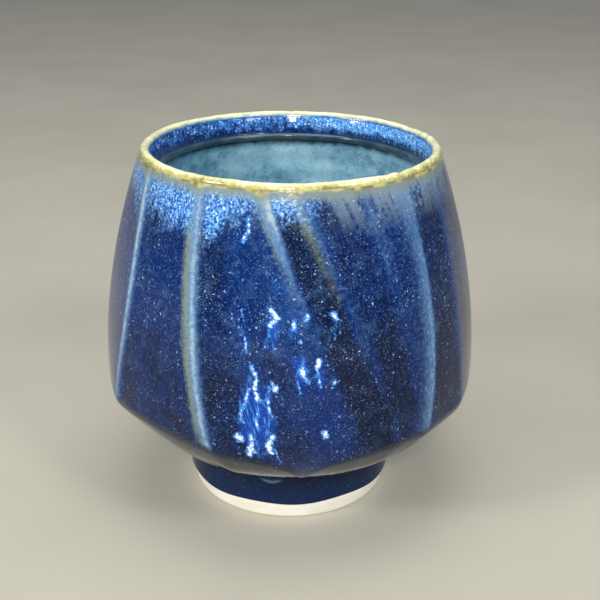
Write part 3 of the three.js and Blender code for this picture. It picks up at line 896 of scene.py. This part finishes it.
ROUND_COLUMNS = 256
GLAZE_LINE_WANDER = 0.32
FOOT_UNEVENNESS = 0.05
foot_waves = make_waves(11, 6, 7, 20)
flare_start = underside_point(start_part)
foot_path = smooth_path([flare_start, (FOOT_RADIUS + 0.9, 15.75), (FOOT_RADIUS + 0.25, 15.0),
                         (FOOT_RADIUS, 13.8), (FOOT_RADIUS, 10), (FOOT_RADIUS, 7.2),
                         (FOOT_RADIUS + 0.02, 6.1), (FOOT_RADIUS - 0.1, 5.55), (FOOT_RADIUS - 0.5, 5.2)], 60)
angle, radius, height = turned_rows(foot_path, ROUND_COLUMNS)
near_line = np.clip(1 - (height - GLAZE_LINE) / 3, 0, 1)
height = height + near_line * GLAZE_LINE_WANDER * unevenness(foot_waves, angle, np.zeros_like(angle))
radius = radius + FOOT_UNEVENNESS * unevenness(make_waves(12, 6, 9, 12), angle, height)

# A pale crescent painted on the foot, under the tongue: a painted highlight on glaze that ran and pooled
# there. Its ends rise by DRIP_CURVE times the square of the angle from its middle.
DRIP_ANGLE = -10
DRIP_HEIGHT = 13.2
DRIP_CURVE = 0.025
DRIP_WIDTH = 0.4
DRIP_REACH = 5.5
DRIP_HIGHLIGHT_AMOUNT = 0.7
from_drip = turn_between(angle, DRIP_ANGLE)
drip_level = DRIP_HEIGHT + DRIP_CURVE * from_drip ** 2
# The crescent is a painted highlight, not a colour of the glaze.
drip_highlight = DRIP_HIGHLIGHT_AMOUNT * np.exp(-((height - drip_level) / DRIP_WIDTH) ** 2 - (from_drip / DRIP_REACH) ** 4)
add_coat("foot_coat", (angle, radius, height),
         plain_cobalt_finish("cobalt_foot", rgb(3, 14, 38), rgb(8, 34, 72), 0.2),
         ["foot_glaze"], {"drip_highlight": drip_highlight})

clay = clay_finish("bare_clay")
ring_path = [(RECESS_RADIUS, RECESS_TOP - 0.3), (RECESS_RADIUS + 0.1, 6), (RECESS_RADIUS + 0.35, 3),
             (CONTACT_INNER_RADIUS - 0.7, 1.0), (CONTACT_INNER_RADIUS - 0.35, 0.35),
             (CONTACT_INNER_RADIUS, 0.05), (CONTACT_INNER_RADIUS + 0.5, 0),
             (CONTACT_OUTER_RADIUS - 0.5, 0), (CONTACT_OUTER_RADIUS, 0.05),
             (CONTACT_OUTER_RADIUS + 0.4, 0.4), (CONTACT_OUTER_RADIUS + 0.7, 1.0), (BARE_RADIUS - 0.45, 2.8),
             (BARE_RADIUS - 0.1, 4.4), (BARE_RADIUS, 5.9)]
ring_outside = smooth_path(ring_path, 90)
ring_inside = np.array([(FOOT_RADIUS - 1, 6.2), (FOOT_RADIUS - 1, RECESS_TOP - 0.3)])
angle, radius, height = turned_rows(np.vstack([ring_outside, ring_inside]), ROUND_COLUMNS)
add_piece("bare_foot", on_circle(radius, angle, np.maximum(height, 0)), clay, ["foot_ring"])

FLOOR_RINGS = 0.08
RING_PITCH = 1.7
CENTRE_DIMPLE = 0.35
out = np.linspace(0, RECESS_RADIUS + 0.4, 90)
dish = RECESS_TOP + FLOOR_RINGS * np.sin(out / RING_PITCH * 2 * math.pi) * np.clip(out / 3, 0, 1)
dish = dish - CENTRE_DIMPLE * np.exp(-(out / 1.6) ** 2)
rim = turned_size("floor_disc")[0]
disc = [*zip(out, dish), (rim, RECESS_TOP + 0.4), (rim, FOOT_TOP_HEIGHT - 1.2), (20, 14.6), (10, 13.4),
        (0, 13.2)]
angle, radius, height = turned_rows(disc, ROUND_COLUMNS)
add_piece("turned_floor", on_circle(radius, angle, height), clay, ["floor_disc"], is_ring=False)


# ---------- the lip, the collar and the inside ----------

LIP_COLUMNS = 480
INNER_LIP_RADIUS = LIP_RADIUS - LIP_WIDTH
# Where the lip is lumpy: angle, reach in degrees and strength.
LIP_LUMPS = [(52, 20, 1.0), (108, 12, 0.8)]
lip_outside = smooth_path([(LIP_RADIUS, LIP_BASE - 0.02), (LIP_RADIUS - 0.12, LIP_BASE + 0.5),
                           (LIP_RADIUS - 0.42, LIP_BASE + 1.05), (LIP_RADIUS - 0.9, LIP_BASE + 1.5),
                           (LIP_RADIUS - 1.5, HEIGHT - 0.12), (LIP_RADIUS - 2.1, LIP_BASE + 1.48),
                           (INNER_LIP_RADIUS + 0.4, LIP_BASE + 1.0),
                           (INNER_LIP_RADIUS + 0.12, LIP_BASE + 0.45),
                           (INNER_LIP_RADIUS, LIP_BASE - 0.02)], 41)
lip_under = np.array([(INNER_LIP_RADIUS + 0.6, LIP_BASE - 0.5), (LIP_RADIUS - 0.6, LIP_BASE - 0.5)])
angle, radius, height = turned_rows(np.vstack([lip_outside, lip_under]), LIP_COLUMNS)
level = np.clip((height - LIP_BASE) / (HEIGHT - LIP_BASE), 0, 1)
across = np.concatenate([np.linspace(0, 1, len(lip_outside)), np.ones(len(lip_under))])[:, None]
level_height = np.zeros_like(angle)
lumpy = 0.35
for middle, reach, strength in LIP_LUMPS:
    lumpy = lumpy + strength * np.exp(-(turn_between(angle, middle) / reach) ** 2)
rise = 0.16 * unevenness(make_waves(21, 6, 8, 50), angle, level_height)
rise = rise + 0.14 * lumpy * unevenness(make_waves(22, 10, 60, 50), angle, level_height)
bulge = 0.07 * lumpy * unevenness(make_waves(23, 10, 70, 50), angle, level_height)
outward = np.sign(radius - (LIP_RADIUS - LIP_WIDTH / 2)) * np.clip(level * 3, 0, 1) * (1 - level ** 2)
lip_height = np.minimum(height + level * (rise - 0.15), HEIGHT)
cut = rounded_scale(angle, np.full_like(angle, LIP_BASE))
outer_share = np.clip((radius - INNER_LIP_RADIUS) / LIP_WIDTH, 0, 1) ** 2
lip_radius = radius * (1 + (cut - 1) * outer_share) + bulge * outward
add_piece("lip", on_circle(lip_radius, angle, lip_height), lip_finish(), ["lip_ring"],
          {"across": np.broadcast_to(across, angle.shape)})

collar_path = smooth_path([(COLLAR_BASE_RADIUS, COLLAR_BASE - 0.25), (38.55, 100.6), (38.72, 101.8),
                           (39.03, 103.0), (INNER_LIP_RADIUS, LIP_BASE)], 30)
angle, radius, height = turned_rows(collar_path, LIP_COLUMNS)
COLLAR_UNEVENNESS = 0.06
swell = COLLAR_UNEVENNESS * unevenness(make_waves(31, 10, 30, 3), angle, height)
radius = radius + swell * np.clip(LIP_BASE - height, 0, 1)
# How thick the crystals are on the collar: angle and amount.
COLLAR_AZURE = [(-180, 0.35), (-150, 0.2), (-110, 0.15), (-70, 0.2), (0, 0.4), (70, 0.6), (105, 0.75),
                (140, 0.8), (165, 0.5), (180, 0.35)]
collar_azure = np.interp(turn_between(angle, 0), *zip(*COLLAR_AZURE))
collar_marks = {
    "azure": collar_azure * np.clip(0.45 + (height - COLLAR_BASE) / 6, 0, 1),
    "level": np.broadcast_to((height - COLLAR_BASE) / (LIP_BASE - COLLAR_BASE), angle.shape),
}
add_coat("collar_coat", (angle, radius, height), collar_finish(), ["collar_glaze"],
         collar_marks)

ridge_path = smooth_path([(COLLAR_BASE_RADIUS + 0.02, COLLAR_BASE - 0.2), (COLLAR_BASE_RADIUS - 0.25, 99.0),
                          (RIDGE_RADIUS + 0.1, 98.6), (RIDGE_RADIUS, 98.1), (RIDGE_RADIUS + 0.12, 97.6),
                          (RIDGE_RADIUS + 0.5, 97.2), (RIDGE_RADIUS + 1.2, RIDGE_LOW + 0.02),
                          (RIDGE_RADIUS + 2, RIDGE_LOW)], 36)
ridge_back = np.array([(RIDGE_BACK_RADIUS, RIDGE_LOW), (RIDGE_BACK_RADIUS, RIDGE_HIGH)])
angle, radius, height = turned_rows(np.vstack([ridge_path, ridge_back]), ROUND_COLUMNS)
front = np.clip(RIDGE_BACK_RADIUS - 0.8 - radius, 0, 1)
level_height = np.zeros_like(angle)
radius = radius + front * 0.1 * unevenness(make_waves(41, 8, 14, 30), angle, level_height)
height = height + front * 0.12 * unevenness(make_waves(42, 8, 10, 30), angle, level_height)
ridge_level = np.clip((height - RIDGE_LOW) / (RIDGE_HIGH - RIDGE_LOW), 0, 1)
add_piece("collar_ridge_rounded", on_circle(radius, angle, height), ridge_finish(), ["collar_ridge"],
          {"height": ridge_level})

LINER_ROWS = 90
LINER_BACK_ROWS = 30
BOWL_ROWS = 50
THROWING_RINGS = 0.12
THROWING_PITCH = 6.5
LINER_UNEVENNESS = 0.12
up_wall = np.linspace(BOWL_TOP, LINER_TOP, LINER_ROWS)
bowl_radii, bowl_heights = bowl_point(np.linspace(0, 1, BOWL_ROWS)[:-1])
inner_radii = np.concatenate([bowl_radii, wall_radius(up_wall) - WALL_THICKNESS])
inner_heights = np.concatenate([bowl_heights, up_wall])
angle, radius, height = turned_rows(list(zip(inner_radii, inner_heights)), ROUND_COLUMNS)
spiral = np.sin(height / THROWING_PITCH * 2 * math.pi + np.radians(angle))
fade = np.clip(radius / 12, 0, 1) * np.clip((LINER_TOP - height) / 5, 0, 1)
swell = LINER_UNEVENNESS * unevenness(make_waves(51, 6, 5, 16), angle, height)
radius = radius + fade * (THROWING_RINGS * spiral + swell)
level = np.broadcast_to((height - BOWL_FLOOR) / (LINER_TOP - BOWL_FLOOR), angle.shape)
add_coat("liner", (angle, radius, height), liner_finish(), ["liner_glaze"],
         {"height": level}, LINER_BACK_ROWS, is_ring=False)

# The hidden clay keeps its CAD solids.
for node in ("lower_wall", "faceted_wall"):
    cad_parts[node].material_slots[0].material = clay


# ---------- floor, lights and camera ----------

def floor_finish():
    f = Finish("studio_floor")
    broad = f.noise(90, 3, 0.5)
    fine = f.noise(1.5, 2, 0.5)
    colour = f.mix(f.ramped(broad, 0.3, 0.7), rgb(184, 180, 166), rgb(191, 187, 173))
    return f.done(colour, f.ramped(fine, 0.3, 0.7, 0.5, 0.65), f.bump(fine, 0.02))


def add_floor():
    half = 4.0
    mesh = bpy.data.meshes.new("studio_floor")
    mesh.from_pydata([(-half, -half, 0), (half, -half, 0), (half, half, 0), (-half, half, 0)], [],
                     [(0, 1, 2, 3)])
    mesh.materials.append(floor_finish())
    floor = bpy.data.objects.new("studio_floor", mesh)
    bpy.context.scene.collection.objects.link(floor)


def add_light(name, place, size, power, colour, target=(0, 0, 0.06)):
    """A rectangular soft light at a place in metres, turned to the target."""
    data = bpy.data.lights.new(name, "AREA")
    data.shape = "RECTANGLE"
    data.size, data.size_y = size
    data.energy = power
    data.color = colour
    light = bpy.data.objects.new(name, data)
    light.location = place
    light.rotation_euler = (Vector(target) - Vector(place)).to_track_quat("-Z", "Y").to_euler()
    bpy.context.scene.collection.objects.link(light)


def add_camera(place, pitch, yaw, roll, lens):
    """A camera at a place in metres; the angles are in degrees, down, to the right and clockwise."""
    pitch, yaw, roll = (math.radians(a) for a in (pitch, yaw, roll))
    forward = Vector((math.sin(yaw) * math.cos(pitch), math.cos(yaw) * math.cos(pitch), -math.sin(pitch)))
    level = Vector((math.cos(yaw), -math.sin(yaw), 0))
    upright = level.cross(forward)
    right = math.cos(roll) * level + math.sin(roll) * upright
    up = math.cos(roll) * upright - math.sin(roll) * level
    data = bpy.data.cameras.new("photo_camera")
    data.lens = lens
    data.sensor_width = 36
    camera = bpy.data.objects.new("photo_camera", data)
    camera.matrix_world = Matrix.Translation(place) @ Matrix((right, up, -forward)).transposed().to_4x4()
    bpy.context.scene.collection.objects.link(camera)
    bpy.context.scene.camera = camera


CAMERA_PLACE = Vector((0, -0.27728, 0.17430))
CAMERA_PITCH = 22.864
CAMERA_YAW = 0.614
CAMERA_ROLL = 0.501
LENS = 60

add_floor()
add_camera(CAMERA_PLACE, CAMERA_PITCH, CAMERA_YAW, CAMERA_ROLL, LENS)
add_light("overhead", (0.0, 0.05, 1.1), (0.7, 0.7), 4, (1.0, 0.99, 0.97))
add_light("front", (-0.03, -0.77, 0.5), (0.15, 0.14), 4.2, (1.0, 0.99, 0.97))
add_light("left", (-0.65, -0.41, 0.47), (0.16, 0.14), 3, (1.0, 0.98, 0.95))
add_light("right", (0.6, -0.62, 0.8), (0.25, 0.25), 3.2, (0.97, 0.98, 1.0))

world = bpy.data.worlds.new("studio")
world.use_nodes = True
world.node_tree.nodes["Background"].inputs["Color"].default_value = (0.3, 0.305, 0.32, 1)
world.node_tree.nodes["Background"].inputs["Strength"].default_value = 1.0
bpy.context.scene.world = world
bpy.context.scene.view_settings.view_transform = "Standard"
